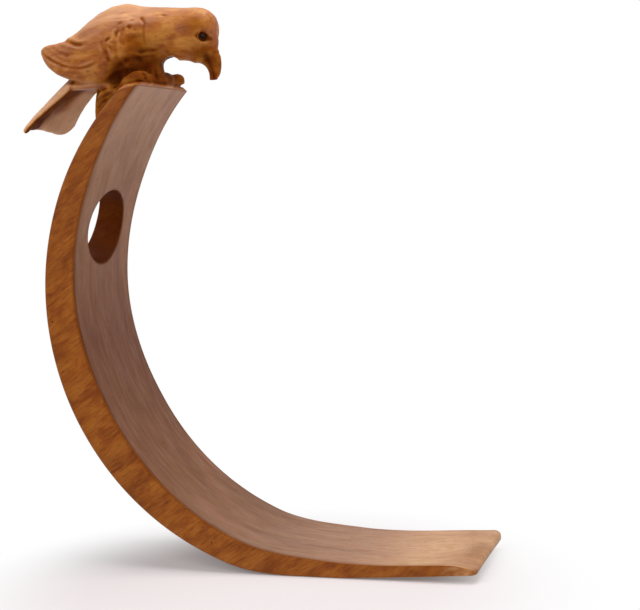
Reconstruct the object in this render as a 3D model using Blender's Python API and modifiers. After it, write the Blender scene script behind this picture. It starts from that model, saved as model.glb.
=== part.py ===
# Bow-shaped wooden bottle holder with a carved bird perched on its upper end.
# Metres, +Z up. X runs from the bird's tail to the toe of the foot, Y runs across the board.
# The finished holder stands with the middle of its bounding box's underside on the origin.

import math

import bmesh
import bpy
from mathutils import Vector
from mathutils.bvhtree import BVHTree

# The bow: a board bent round one centre, cut flat where it stands
board_width = 0.065
bow_radius = 0.1396
sole_depth = 0.0037
sole_back = 0.014
sole_front = 0.008
foot_reach = 0.0785
toe_lift = 0.0042
edge_ease = 0.0009
crest_round = 0.003

# Where the bow's stretches begin and end, in degrees round its centre from +X
crest_inner_angle = 127.8
crest_outer_angle = 132.1
heel_angle = 250.0

# Wall of the bow at named places, each with its place in degrees round the centre
crest_wall = 0.0055
shoulder_wall = 0.0132
back_wall = 0.0170
heel_wall = 0.0192
arch_wall = 0.0141
sole_wall = 0.0092
ball_wall = 0.0066
toe_wall = 0.0058
toe_edge = 0.0030
wall_places = (
    (crest_inner_angle, crest_wall),
    (151.0, shoulder_wall),
    (180.0, back_wall),
    (209.0, heel_wall),
    (248.5, arch_wall),
    (269.0, sole_wall),
    (282.0, ball_wall),
    (296.0, toe_wall),
    (299.5, toe_edge),
)

# The neck hole through the upper part of the bow
neck_hole_diameter = 0.038
neck_hole_angle = 162.8

# The bird, measured from the inner corner of the crest: tail to brow, crest to back, and tail span
bird_length = 0.102
bird_height = 0.0435
bird_width = 0.054
seat_gap = 0.0003

# Dowels that pin the bird to the crest
dowel_diameter = 0.006
dowel_length = 0.0155
dowel_in_board = 0.0065
dowel_gap = 0.0003
dowel_spacing = 0.012
dowel_angle = 136.5

# Bead eyes
eye_diameter = 0.0046
eye_sunk = 0.0012
eye_gap = 0.0003

# One overrun for all cuts
overrun = 0.010

# Loft stations of the bird. A row holds x, y and z of the centre, then the half height and the half
# width. x follows the bird's length, z and half heights its height, y and half widths its width.
body_shares = (
    (-0.535, 0.0, 0.420, 0.100, 0.170),
    (-0.490, 0.0, 0.390, 0.225, 0.230),
    (-0.410, 0.0, 0.405, 0.310, 0.260),
    (-0.315, 0.0, 0.475, 0.390, 0.300),
    (-0.205, 0.0, 0.530, 0.465, 0.350),
    (-0.100, 0.0, 0.560, 0.440, 0.355),
    (-0.015, 0.0, 0.620, 0.335, 0.300),
    (0.060, 0.0, 0.635, 0.285, 0.255),
    (0.135, 0.0, 0.610, 0.295, 0.235),
    (0.205, 0.0, 0.580, 0.310, 0.225),
    (0.255, 0.0, 0.545, 0.250, 0.180),
    (0.282, 0.0, 0.520, 0.120, 0.100),
)
beak_shares = (
    (0.205, 0.0, 0.420, 0.190, 0.130),
    (0.255, 0.0, 0.300, 0.140, 0.100),
    (0.272, 0.0, 0.210, 0.098, 0.072),
    (0.276, 0.0, 0.130, 0.070, 0.050),
    (0.268, 0.0, 0.062, 0.046, 0.032),
    (0.264, 0.0, 0.042, 0.032, 0.024),
)
wing_shares = (
    (-0.568, -0.345, 0.475, 0.030, 0.025),
    (-0.538, -0.350, 0.460, 0.100, 0.055),
    (-0.465, -0.350, 0.385, 0.200, 0.080),
    (-0.370, -0.320, 0.375, 0.280, 0.110),
    (-0.270, -0.290, 0.435, 0.345, 0.130),
    (-0.170, -0.265, 0.515, 0.345, 0.135),
    (-0.085, -0.245, 0.600, 0.250, 0.115),
    (-0.035, -0.225, 0.640, 0.110, 0.070),
)
tail_shares = (
    (-0.684, -0.035, -0.435, 0.026, 0.340),
    (-0.670, -0.035, -0.410, 0.044, 0.430),
    (-0.620, -0.035, -0.290, 0.050, 0.420),
    (-0.530, -0.020, -0.085, 0.060, 0.340),
    (-0.430, 0.0, 0.135, 0.090, 0.255),
    (-0.330, 0.0, 0.300, 0.150, 0.220),
)
leg_shares = (
    (-0.165, 0.0, 0.400, 0.300, 0.240),
    (-0.170, 0.0, 0.150, 0.370, 0.250),
    (-0.180, 0.0, -0.150, 0.410, 0.260),
    (-0.185, 0.0, -0.650, 0.420, 0.270),
)
foot_shares = (
    (-0.230, -0.235, -0.040, 0.055, 0.060),
    (-0.170, -0.240, -0.005, 0.090, 0.115),
    (-0.090, -0.245, 0.055, 0.100, 0.130),
    (-0.030, -0.245, 0.070, 0.080, 0.120),
)
toe_shares = (
    (-0.075, -0.245, 0.110, 0.050, 0.030),
    (-0.030, -0.245, 0.125, 0.064, 0.042),
    (0.010, -0.245, 0.110, 0.066, 0.042),
    (0.028, -0.245, 0.050, 0.055, 0.032),
)
toe_spread_shares = (-0.078, 0.0, 0.078)
foot_step_shares = {"right": -0.035, "left": 0.0}
tail_camber_share = 0.075
toe_overhang_share = 0.07
eye_place_shares = (0.260, 0.535)

# How finely the forms are cut into faces
bow_steps = 40
sole_steps = 6
toe_steps = 22
body_sides = 20
wing_sides = 16
limb_sides = 12
toe_sides = 8
rings_per_span = 2

bow_centre = Vector((0.0, 0.0, bow_radius - sole_depth))


def remove_startup_objects():
    for item in list(bpy.data.objects):
        bpy.data.objects.remove(item, do_unlink=True)


def make_collection(name):
    collection = bpy.data.collections.new(name)
    bpy.context.scene.collection.children.link(collection)
    return collection


def make_material(name, colour, roughness):
    material = bpy.data.materials.new(name)
    material.use_nodes = True
    shader = material.node_tree.nodes["Principled BSDF"]
    shader.inputs["Base Color"].default_value = (*colour, 1.0)
    shader.inputs["Roughness"].default_value = roughness
    shader.inputs["Metallic"].default_value = 0.0
    return material


def add_object(name, mesh, collection, material=None):
    item = bpy.data.objects.new(name, mesh)
    collection.objects.link(item)
    if material:
        mesh.materials.append(material)
    return item


def add_cutter(name, mesh, collection):
    item = add_object(name, mesh, collection)
    item.hide_render = True
    item.display_type = "WIRE"
    return item


def add_boolean(item, other, operation, solver="EXACT"):
    modifier = item.modifiers.new(f"{operation.lower()}_{other.name}", "BOOLEAN")
    modifier.operation = operation
    modifier.solver = solver
    modifier.object = other


def radial(angle):
    """Unit direction from the bow's centre, with the angle in degrees from +X."""
    return Vector((math.cos(math.radians(angle)), 0.0, math.sin(math.radians(angle))))


def angle_of(point):
    """Degrees round the bow's centre, counted on from the crest towards the toe."""
    away = point - bow_centre
    return math.degrees(math.atan2(away.z, away.x)) % 360.0


def hermite(rows, at):
    """Smooth value at a place, through rows that each start with their place."""
    last = len(rows) - 1
    span = 0
    while span < last - 1 and at > rows[span + 1][0]:
        span += 1
    start, end = rows[span], rows[span + 1]
    before, after = rows[max(span - 1, 0)], rows[min(span + 2, last)]
    width = end[0] - start[0]
    t = min(max((at - start[0]) / width, 0.0), 1.0)
    values = []
    for k in range(1, len(start)):
        slope_start = (end[k] - before[k]) / (end[0] - before[0]) * width
        slope_end = (after[k] - start[k]) / (after[0] - start[0]) * width
        values.append(
            (2 * t**3 - 3 * t**2 + 1) * start[k]
            + (t**3 - 2 * t**2 + t) * slope_start
            + (3 * t**2 - 2 * t**3) * end[k]
            + (t**3 - t**2) * slope_end
        )
    return values


def quadratic(start, control, end, steps):
    """Points of a quadratic curve after its start, up to and with its end."""
    points = []
    for step in range(1, steps + 1):
        t = step / steps
        points.append(start * (1 - t) ** 2 + control * 2 * t * (1 - t) + end * t**2)
    return points


def outer_path():
    """The outer edge from the inner end of the crest, down the back and along the sole to the toe."""
    path = []
    for step in range(bow_steps + 1):
        angle = crest_inner_angle + (heel_angle - crest_inner_angle) * step / bow_steps
        path.append(bow_centre + radial(angle) * bow_radius)
    heel = path[-1]
    run_out = heel.z / math.tan(math.radians(270.0 - heel_angle))
    sole_start = Vector((-sole_back, 0.0, 0.0))
    sole_end = Vector((sole_front, 0.0, 0.0))
    toe = Vector((foot_reach, 0.0, toe_lift))
    path += quadratic(heel, Vector((heel.x + run_out, 0.0, 0.0)), sole_start, sole_steps)
    path += [sole_end]
    path += quadratic(sole_end, Vector((sole_front + sole_back / 2, 0.0, 0.0)), toe, toe_steps)
    return path


def normals_of(path):
    """Unit normals of the outer edge, pointing into the board."""
    normals = []
    for index in range(len(path)):
        ahead = path[min(index + 1, len(path) - 1)]
        behind = path[max(index - 1, 0)]
        along = (ahead - behind).normalized()
        normals.append(Vector((-along.z, 0.0, along.x)))
    return normals


def inner_path(path):
    points = []
    for point, normal in zip(path, normals_of(path)):
        (wall,) = hermite(wall_places, angle_of(point))
        points.append(point + normal * wall)
    return points


def crest_corner():
    """The inner corner of the crest, on which the bird is placed."""
    return bow_centre + radial(crest_inner_angle) * (bow_radius - crest_wall)


def rounded(before, corner, after, radius, steps=4):
    """A corner of an outline eased by a short curve that starts and ends a radius away from it."""
    start = corner + (before - corner).normalized() * radius
    end = corner + (after - corner).normalized() * radius
    return [start] + quadratic(start, corner, end, steps)


def board_outline():
    """The board seen along Y: back and sole, toe, upper face of the foot, inner face and crest."""
    path = outer_path()
    inner = inner_path(path)
    outer = [point for point in path if angle_of(point) > crest_outer_angle]
    corner = bow_centre + radial(crest_outer_angle) * bow_radius
    ridge = rounded(outer[1], corner, inner[0], crest_round)
    kept = [point for point in outer if (point - corner).length > crest_round * 1.5]
    return ridge[::-1] + kept + inner[::-1]


def seat_outline():
    """Everything under the crest and the back: what the bird's legs are cut away by."""
    path = outer_path()
    outer = [point for point in path if crest_outer_angle < angle_of(point) < neck_hole_angle]
    corner = bow_centre + radial(crest_outer_angle) * bow_radius
    crest = crest_corner()
    along = (crest - corner).normalized()
    lift = Vector((-along.z, 0.0, along.x)) * seat_gap
    ridge = rounded(outer[1], corner, crest, crest_round)
    kept = [point for point in outer if (point - corner).length > crest_round * 1.5]
    shell = []
    for point in ridge[::-1] + kept:
        shell.append(point + (point - bow_centre).normalized() * seat_gap)
    far = crest + along * (toe_overhang_share * bird_length) + lift
    low = shell[-1]
    return [crest + lift] + shell + [Vector((far.x, 0.0, low.z)), far]


def extruded(name, outline, width):
    """A flat outline in the XZ plane made a plate of the given width, centred on Y."""
    curve = bpy.data.curves.new(name, "CURVE")
    curve.dimensions = "2D"
    curve.fill_mode = "BOTH"
    curve.extrude = width / 2
    spline = curve.splines.new("POLY")
    spline.points.add(len(outline) - 1)
    for target, point in zip(spline.points, outline):
        target.co = (point.x, point.z, 0.0, 1.0)
    spline.use_cyclic_u = True
    guide = bpy.data.objects.new(name, curve)
    bpy.context.scene.collection.objects.link(guide)
    bpy.context.view_layer.update()
    graph = bpy.context.evaluated_depsgraph_get()
    mesh = bpy.data.meshes.new_from_object(guide.evaluated_get(graph))
    bpy.data.objects.remove(guide, do_unlink=True)
    for vertex in mesh.vertices:
        x, z, y = vertex.co
        vertex.co = (x, -y, z)
    cage = bmesh.new()
    cage.from_mesh(mesh)
    bmesh.ops.remove_doubles(cage, verts=cage.verts, dist=edge_ease / 100)
    bmesh.ops.recalc_face_normals(cage, faces=cage.faces)
    cage.to_mesh(mesh)
    cage.free()
    return mesh


def rod_mesh(name, middle, direction, diameter, length, sides):
    """A cylinder round its middle, along a direction."""
    cage = bmesh.new()
    bmesh.ops.create_cone(
        cage,
        cap_ends=True,
        segments=sides,
        radius1=diameter / 2,
        radius2=diameter / 2,
        depth=length,
    )
    turn = Vector((0.0, 0.0, 1.0)).rotation_difference(direction).to_matrix().to_4x4()
    cage.transform(turn)
    for vertex in cage.verts:
        vertex.co += middle
    mesh = bpy.data.meshes.new(name)
    cage.to_mesh(mesh)
    cage.free()
    return mesh


def ball_mesh(name, middle, diameter):
    cage = bmesh.new()
    bmesh.ops.create_uvsphere(cage, u_segments=16, v_segments=8, radius=diameter / 2)
    for vertex in cage.verts:
        vertex.co += middle
    mesh = bpy.data.meshes.new(name)
    cage.to_mesh(mesh)
    cage.free()
    return mesh


def stations_of(shares, side, step_share, spread_share):
    """Rows of shares turned into real centres, half heights and half widths. The rows give the bird's
    right side, at -Y, and side -1 turns them over to its left."""
    perch = crest_corner()
    rows = []
    for x, y, z, half_height, half_width in shares:
        ahead = (x + step_share) * bird_length
        across = side * (y + spread_share) * bird_width
        centre = perch + Vector((ahead, across, z * bird_height))
        rows.append((centre, half_height * bird_height, half_width * bird_width))
    return rows


def refine(rows):
    """Stations added between the given ones, on a smooth curve through them."""
    numbered = [(float(i), *row[0], row[1], row[2]) for i, row in enumerate(rows)]
    fine = []
    for step in range((len(rows) - 1) * rings_per_span + 1):
        x, y, z, half_height, half_width = hermite(numbered, step / rings_per_span)
        fine.append((Vector((x, y, z)), half_height, half_width))
    return fine


def loft_mesh(name, shares, sides, power=2.0, camber=0.0, side=1, step_share=0.0, spread_share=0.0):
    """A closed form through upright sections. A power over 2 squares the sections, and a camber
    drops their sides, so that a plate is hollow underneath."""
    rows = refine(stations_of(shares, side, step_share, spread_share))
    cage = bmesh.new()
    rings = []
    for index, (centre, half_height, half_width) in enumerate(rows):
        ahead = rows[min(index + 1, len(rows) - 1)][0]
        behind = rows[max(index - 1, 0)][0]
        along = (ahead - behind).normalized()
        up = Vector((-along.z, 0.0, along.x)).normalized()
        ring = []
        for corner in range(sides):
            turn = 2 * math.pi * corner / sides
            across = math.copysign(abs(math.cos(turn)) ** (2 / power), math.cos(turn))
            rise = math.copysign(abs(math.sin(turn)) ** (2 / power), math.sin(turn))
            drop = camber * across**2 * half_width / bird_width
            point = centre + up * (rise * half_height - drop)
            point.y += across * half_width
            ring.append(cage.verts.new(point))
        rings.append(ring)
    for near, far in zip(rings, rings[1:]):
        for corner in range(sides):
            after = (corner + 1) % sides
            cage.faces.new((near[corner], near[after], far[after], far[corner]))
    cage.faces.new(rings[0][::-1])
    cage.faces.new(rings[-1])
    bmesh.ops.recalc_face_normals(cage, faces=cage.faces)
    mesh = bpy.data.meshes.new(name)
    cage.to_mesh(mesh)
    cage.free()
    return mesh


def bird_forms():
    """The meshes of the forms that are joined to the body. The EXACT solver loses the body where the
    legs meet it, so the bird is joined and cut with the MANIFOLD one."""
    forms = [
        loft_mesh("beak", beak_shares, limb_sides),
        loft_mesh("tail", tail_shares, wing_sides, 5.0, tail_camber_share * bird_width),
        loft_mesh("legs", leg_shares, limb_sides, 3.0),
    ]
    for hand, side in (("right", 1), ("left", -1)):
        step_share = foot_step_shares[hand]
        forms.append(loft_mesh(f"wing_{hand}", wing_shares, wing_sides, 2.4, side=side))
        forms.append(
            loft_mesh(f"foot_{hand}", foot_shares, limb_sides, 2.6, side=side, step_share=step_share)
        )
        for number, spread_share in enumerate(toe_spread_shares, 1):
            forms.append(
                loft_mesh(
                    f"toe_{hand}_{number}",
                    toe_shares,
                    toe_sides,
                    side=side,
                    step_share=step_share,
                    spread_share=spread_share,
                )
            )
    return forms


def make_board(parts, cutters, wood):
    board = add_object("curved_stand", extruded("curved_stand", board_outline(), board_width), parts, wood)
    ease = board.modifiers.new("eased_edges", "BEVEL")
    ease.width = edge_ease
    ease.segments = 1
    ease.limit_method = "ANGLE"
    ease.angle_limit = math.radians(50)
    outward = radial(neck_hole_angle)
    (wall,) = hermite(wall_places, neck_hole_angle)
    middle = bow_centre + outward * (bow_radius - wall / 2)
    hole = rod_mesh("neck_hole", middle, outward, neck_hole_diameter, wall + 2 * overrun, 48)
    add_boolean(board, add_cutter("neck_hole", hole, cutters), "DIFFERENCE")
    return board


def dowel_axis():
    """Where the dowels cross the back of the board, and their direction out of it."""
    outward = radial(dowel_angle)
    return bow_centre + outward * bow_radius, outward


def make_bird(parts, cutters, wood):
    bird = add_object("bird_carving", loft_mesh("bird_carving", body_shares, body_sides), parts, wood)
    for form in bird_forms():
        add_boolean(bird, add_cutter(form.name, form, cutters), "UNION", "MANIFOLD")
    seat = extruded("seat", seat_outline(), board_width)
    add_boolean(bird, add_cutter("seat", seat, cutters), "DIFFERENCE", "MANIFOLD")
    return bird


def make_dowels(board, bird, parts, cutters, wood):
    surface, outward = dowel_axis()
    middle = surface + outward * (dowel_length / 2 - dowel_in_board)
    for side, name in ((-1, "dowel_right"), (1, "dowel_left")):
        across = Vector((0.0, side * dowel_spacing / 2, 0.0))
        dowel = rod_mesh(name, middle + across, outward, dowel_diameter, dowel_length, 24)
        add_object(name, dowel, parts, wood)
        bore = rod_mesh(
            f"{name}_hole",
            middle + across,
            outward,
            dowel_diameter + 2 * dowel_gap,
            dowel_length + 2 * dowel_gap,
            24,
        )
        cutter = add_cutter(f"{name}_hole", bore, cutters)
        add_boolean(board, cutter, "DIFFERENCE")
        add_boolean(bird, cutter, "DIFFERENCE", "MANIFOLD")


def make_eyes(bird, parts, cutters, bead):
    """Beads in round sockets, placed where a line across the head leaves it."""
    cage = bmesh.new()
    cage.from_mesh(bird.data)
    head = BVHTree.FromBMesh(cage)
    cage.free()
    x_share, z_share = eye_place_shares
    aim = crest_corner() + Vector((x_share * bird_length, 0.0, z_share * bird_height))
    for side, name in ((-1, "eye_right"), (1, "eye_left")):
        start = aim + Vector((0.0, side * bird_width, 0.0))
        skin, normal, _, _ = head.ray_cast(start, Vector((0.0, -side, 0.0)))
        middle = skin - normal * eye_sunk
        add_object(name, ball_mesh(name, middle, eye_diameter), parts, bead)
        socket = ball_mesh(f"{name}_socket", middle, eye_diameter + 2 * eye_gap)
        add_boolean(bird, add_cutter(f"{name}_socket", socket, cutters), "DIFFERENCE", "MANIFOLD")


def stand_on_origin(parts):
    """Everything hung on one empty, so that the middle of the underside lies on the origin."""
    bpy.context.view_layer.update()
    graph = bpy.context.evaluated_depsgraph_get()
    corners = []
    for item in parts.objects:
        evaluated = item.evaluated_get(graph)
        corners += [item.matrix_world @ vertex.co for vertex in evaluated.data.vertices]
    middle_x = (min(p.x for p in corners) + max(p.x for p in corners)) / 2
    base = bpy.data.objects.new("holder_base", None)
    parts.objects.link(base)
    base.location = (-middle_x, 0.0, -min(p.z for p in corners))
    return base


def shade(parts):
    for item in parts.objects:
        if item.type == "MESH":
            item.data.shade_smooth()
            item.data.set_sharp_from_angle(angle=math.radians(35))


def main():
    remove_startup_objects()
    parts = make_collection("bottle_holder")
    cutters = make_collection("cutters")
    board_wood = make_material("waxed board", (0.36, 0.15, 0.045), 0.42)
    bird_wood = make_material("waxed carving", (0.42, 0.18, 0.055), 0.42)
    peg_wood = make_material("bare beech", (0.60, 0.42, 0.24), 0.65)
    bead = make_material("dark bead", (0.020, 0.009, 0.005), 0.25)
    board = make_board(parts, cutters, board_wood)
    bird = make_bird(parts, cutters, bird_wood)
    make_dowels(board, bird, parts, cutters, peg_wood)
    make_eyes(bird, parts, cutters, bead)
    shade(parts)
    base = stand_on_origin(parts)
    for item in list(parts.objects) + list(cutters.objects):
        if item != base:
            item.parent = base


main()
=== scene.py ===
from functools import partial
from math import atan2, cos, degrees, pi, radians, sin, sqrt, tan

import bmesh
import bpy
import numpy as np
from mathutils import Matrix, Vector, noise


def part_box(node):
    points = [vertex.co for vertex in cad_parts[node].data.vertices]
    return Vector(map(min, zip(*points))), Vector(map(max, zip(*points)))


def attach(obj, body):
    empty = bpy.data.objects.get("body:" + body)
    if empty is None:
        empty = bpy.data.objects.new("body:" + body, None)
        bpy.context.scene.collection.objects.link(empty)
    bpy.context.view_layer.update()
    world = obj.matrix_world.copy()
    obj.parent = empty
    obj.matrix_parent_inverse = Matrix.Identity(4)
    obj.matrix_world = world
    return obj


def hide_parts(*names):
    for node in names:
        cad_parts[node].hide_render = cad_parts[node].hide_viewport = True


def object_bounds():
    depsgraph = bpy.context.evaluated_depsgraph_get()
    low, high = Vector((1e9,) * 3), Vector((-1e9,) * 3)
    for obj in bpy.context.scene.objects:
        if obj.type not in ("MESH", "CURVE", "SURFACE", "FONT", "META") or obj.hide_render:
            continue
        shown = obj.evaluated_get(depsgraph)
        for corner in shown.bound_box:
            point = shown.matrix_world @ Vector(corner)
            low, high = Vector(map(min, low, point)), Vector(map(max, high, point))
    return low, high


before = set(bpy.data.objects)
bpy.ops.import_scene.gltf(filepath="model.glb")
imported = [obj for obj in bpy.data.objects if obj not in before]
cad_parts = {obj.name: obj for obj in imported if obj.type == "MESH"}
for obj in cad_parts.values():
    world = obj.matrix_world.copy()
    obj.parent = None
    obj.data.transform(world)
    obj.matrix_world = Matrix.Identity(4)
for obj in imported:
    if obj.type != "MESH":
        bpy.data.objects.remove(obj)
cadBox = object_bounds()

boardLow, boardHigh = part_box("curved_stand")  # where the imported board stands


def linear(code):
    # sRGB hex to the linear values that sockets take
    parts = [int(code[i:i + 2], 16) / 255 for i in (1, 3, 5)]
    return tuple(c / 12.92 if c <= 0.04045 else ((c + 0.055) / 1.055) ** 2.4 for c in parts) + (1.0,)


def setInputs(node, values):
    # inputs go by name or number, and From or To sets both ends of a range; a value is a constant, an output,
    # or a node for its first output in use
    for end in ("From", "To"):
        if end in values:
            low, high = values[end]
            values = {**values, end + " Min": low, end + " Max": high}
            del values[end]
    for name, value in values.items():
        named = (socket for socket in node.inputs if socket.name == name and socket.enabled)
        socket = node.inputs[name] if isinstance(name, int) else next(named)
        if isinstance(value, bpy.types.Node):
            value = next(output for output in value.outputs if output.enabled)
        if isinstance(value, bpy.types.NodeSocket):
            node.id_data.links.new(value, socket)
        else:
            socket.default_value = value


def addNode(tree, kind, values=None, stops=(), **settings):
    # stops are a colour ramp's places and colours
    node = tree.nodes.new(kind)
    for name, setting in settings.items():
        setattr(node, name, setting)
    setInputs(node, values or {})
    for spot, (at, colour) in enumerate(stops):
        element = node.color_ramp.elements[spot] if spot < 2 else node.color_ramp.elements.new(at)
        element.position, element.color = at, linear(colour)
    return node


def newMaterial(name):
    # a material, what adds nodes to it, its shader, and the piece's own coordinates
    material = bpy.data.materials.new(name)
    material.use_nodes = True
    add = partial(addNode, material.node_tree)
    shader = material.node_tree.nodes["Principled BSDF"]
    return material, add, shader, add("ShaderNodeTexCoord").outputs["Object"]


def newMesh(name, points, faces):
    mesh = bpy.data.meshes.new(name)
    mesh.from_pydata([tuple(p) for p in points], [], faces)
    mesh.update()
    return mesh


def newObject(name, data):
    item = bpy.data.objects.new(name, data)
    bpy.context.scene.collection.objects.link(item)
    return item


def evaluatedMesh(item, name):
    # the item's mesh as its modifiers leave it
    bpy.context.view_layer.update()
    graph = bpy.context.evaluated_depsgraph_get()
    mesh = bpy.data.meshes.new_from_object(item.evaluated_get(graph))
    mesh.name = name
    return mesh


def cleaned(mesh, distance=1e-7):
    cage = bmesh.new()
    cage.from_mesh(mesh)
    bmesh.ops.remove_doubles(cage, verts=cage.verts, dist=distance)
    bmesh.ops.recalc_face_normals(cage, faces=cage.faces)
    cage.to_mesh(mesh)
    cage.free()
    mesh.update()
    return mesh


def cutAway(item, cutter, solver):
    cut = item.modifiers.new("cut", "BOOLEAN")
    cut.operation, cut.solver, cut.object = "DIFFERENCE", solver, cutter


def meshTable(rows, name, width, kind):
    # one line for each row of a mesh's data
    flat = np.empty(len(rows) * width, kind)
    rows.foreach_get(name, flat)
    return flat.reshape(-1, width)


def coordinates(mesh):
    return meshTable(mesh.vertices, "co", 3, np.float32).astype(float)


def vertexNormals(mesh):
    return meshTable(mesh.vertex_normals, "vector", 3, np.float32).astype(float)


def setCoordinates(mesh, points):
    mesh.vertices.foreach_set("co", points.astype(np.float32).ravel())
    mesh.update()


def finishedPiece(name, mesh, wood, wax):
    # the attribute is above 0 where settled wax and painted shade lie dark, and below 0 where the wood is
    # rubbed bare and where light is painted
    mesh.attributes.new("waxShadeAndPale", "FLOAT", "POINT").data.foreach_set("value", wax.astype(np.float32))
    mesh.materials.clear()
    mesh.materials.append(wood)
    mesh.shade_smooth()
    return newObject(name, mesh)


def ramp(values, low, high):
    # 0 at low, 1 at high, and eased at both
    t = np.clip((values - low) / (high - low), 0.0, 1.0)
    return t * t * (3 - 2 * t)


def between(pair, share):
    return pair[0] + (pair[1] - pair[0]) * share


def dots(these, those):
    return np.einsum("ij,ij->i", these, those)


def noiseAt(points, cell, seed):
    # one value from -1 to 1 for each point, with patches about a cell wide
    shift = Vector((seed * 7.3, seed * 3.1, seed * 5.7))
    return np.clip([noise.noise(Vector(p) + shift) for p in points / np.array(cell, float)], -1.0, 1.0)


# The board: one plank bent in a bow, with a thin crest, a flat sole and a thinned toe

board = {
    "halfWidth": (boardHigh.y - boardLow.y) / 2,
    "bowRadius": 0.1396,
    "soleDepth": 0.0037,
    "soleBack": 0.014,
    "soleFront": 0.008,
    "footReach": 0.0785,
    "toeLift": 0.0042,
    "heelAngle": 250.0,
    "crestInner": 127.8,
    "crestOuter": 132.1,
    "crestFan": 14.0,  # degrees over which the rows turn to the slant of the crest
    "crestRound": 0.0003,
    "toeRound": 0.0025,
    "edgeEase": 0.0012,  # hand-rubbed long edges
    "nominalWall": 0.012,
    "bowRows": 190,
    "soleRows": 12,
    "toeRows": 44,
    "endRows": 6,
    "acrossCuts": 26,
    "waxAndShadeCuts": (0.0006, 0.0013, 0.0022, 0.0036),  # finer ones in from the long edges, where wax and painted shade lie
    "holeDiameter": 0.038,
    "holeAngle": 162.8,
    "holeEase": 0.0008,
    "holeTurns": 72,
    "toeSkew": 0.0016,  # the near corner of the toe stops short by this
    "toeSkewFrom": 0.030,
    "farCorner": 0.0036,  # the toe's corners, rounded in plan
    "nearCorner": 0.0022,
    "nearSlope": 0.42,  # share of the wall that the near corner of the toe loses
    "nearSlopeAlong": (0.015, 0.001),  # between these distances from the toe's end
    "nearSlopeAcross": (0.030, 0.003),  # and from the near side
    "unevenness": 0.00016,  # what sanding by hand leaves, and how wide its waves are
    "unevenCell": (0.034, 0.022, 0.034),
    "edgeWax": 0.30,  # how dark wax and painted shade lie along the inner face's edges, and how far in
    "edgeWaxReach": 0.0015,
    "innerFace": (0.60, 0.90),  # how squarely a face looks at the bow's centre
    "waxAndShadeCell": (0.012, 0.02, 0.012),
    "rimWaxAndShade": 0.40,  # and on their eased corners
    "rimFacing": (0.05, 0.35),
    "rimSide": (0.0004, -0.0002),
    "holeShade": 0.85,
    "holeShadeAway": (0.0012, 0.0003),  # no painted shade and all of it, at these distances from the hole's wall
    "toeWear": 0.80,  # how pale the near side is rubbed at the toe
    "toeWearReach": 0.021,
    "toeWearSide": (0.002, 0.0005),
    "toeWearCell": (0.003, 0.01, 0.0015),
    "footBelow": 0.03,  # wear and stains are for the foot, not for the bow above this
    # soft dark patches on the foot: distance from the toe, y, reach along and across, and how dark
    "toeStains": (
        (0.006, -0.004, 0.006, 0.013, 0.40),
        (0.001, -0.0325, 0.0016, 0.003, 0.85),
        (0.034, 0.012, 0.010, 0.006, 0.10),
    ),
    "creaseAngle": 32.0,
    # the wall's thickness round the bow, by degrees from the level through its centre
    "walls": (
        (127.8, 0.0055), (151.0, 0.0132), (180.0, 0.0170), (209.0, 0.0192), (248.5, 0.0141),
        (269.0, 0.0092), (282.0, 0.0066), (294.0, 0.0059), (299.5, 0.0054),
    ),
}
bowCentre = Vector((boardLow.x + board["bowRadius"], 0.0, board["bowRadius"] - board["soleDepth"]))


def radial(angle):
    return Vector((cos(radians(angle)), 0.0, sin(radians(angle))))


def wallAt(angle):
    # a smooth curve through the walls
    walls = board["walls"]
    last = len(walls) - 1
    span = 0
    while span < last - 1 and angle > walls[span + 1][0]:
        span += 1
    (a0, w0), (a1, w1) = walls[span], walls[span + 1]
    before, after = walls[max(span - 1, 0)], walls[min(span + 2, last)]
    t = min(max((angle - a0) / (a1 - a0), 0.0), 1.0)
    slope0 = (w1 - before[1]) / (a1 - before[0]) * (a1 - a0)
    slope1 = (after[1] - w0) / (after[0] - a0) * (a1 - a0)
    return (
        (2 * t**3 - 3 * t**2 + 1) * w0 + (t**3 - 2 * t**2 + t) * slope0
        + (3 * t**2 - 2 * t**3) * w1 + (t**3 - t**2) * slope1
    )


def bentFrom(start, control, end, steps):
    # points of a quadratic curve, without its start
    ts = [step / steps for step in range(1, steps + 1)]
    return [start * (1 - t) ** 2 + control * 2 * t * (1 - t) + end * t**2 for t in ts]


def outerPath():
    angles = (board["crestOuter"], board["heelAngle"])
    steps = board["bowRows"]
    path = [
        bowCentre + radial(angles[0] + (angles[1] - angles[0]) * step / steps) * board["bowRadius"]
        for step in range(steps + 1)
    ]
    heel = path[-1]
    runOut = heel.z / tan(radians(270.0 - board["heelAngle"]))
    soleStart = Vector((bowCentre.x - board["soleBack"], 0.0, 0.0))
    soleEnd = Vector((bowCentre.x + board["soleFront"], 0.0, 0.0))
    toe = Vector((bowCentre.x + board["footReach"], 0.0, board["toeLift"]))
    path += bentFrom(heel, Vector((heel.x + runOut, 0.0, 0.0)), soleStart, board["soleRows"])
    path += [soleStart.lerp(soleEnd, share) for share in (0.25, 0.5, 0.75, 1.0)]
    lift = Vector((soleEnd.x + board["soleBack"] / 2, 0.0, 0.0))
    return path + bentFrom(soleEnd, lift, toe, board["toeRows"])


def boardRows():
    # pairs of an outer and an inner point, from the crest to the toe
    path = outerPath()
    rows = []
    for index, point in enumerate(path):
        along = (path[min(index + 1, len(path) - 1)] - path[max(index - 1, 0)]).normalized()
        away = point - bowCentre
        angle = degrees(atan2(away.z, away.x)) % 360.0
        fan = min(max((board["crestOuter"] + board["crestFan"] - angle) / board["crestFan"], 0.0), 1.0)
        if fan:
            angle -= fan * fan * (board["crestOuter"] - board["crestInner"])
            inner = bowCentre + radial(angle) * (board["bowRadius"] - wallAt(angle))
        else:
            inner = point + Vector((-along.z, 0.0, along.x)) * wallAt(angle)
        rows.append((point, inner))
    return rows


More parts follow.
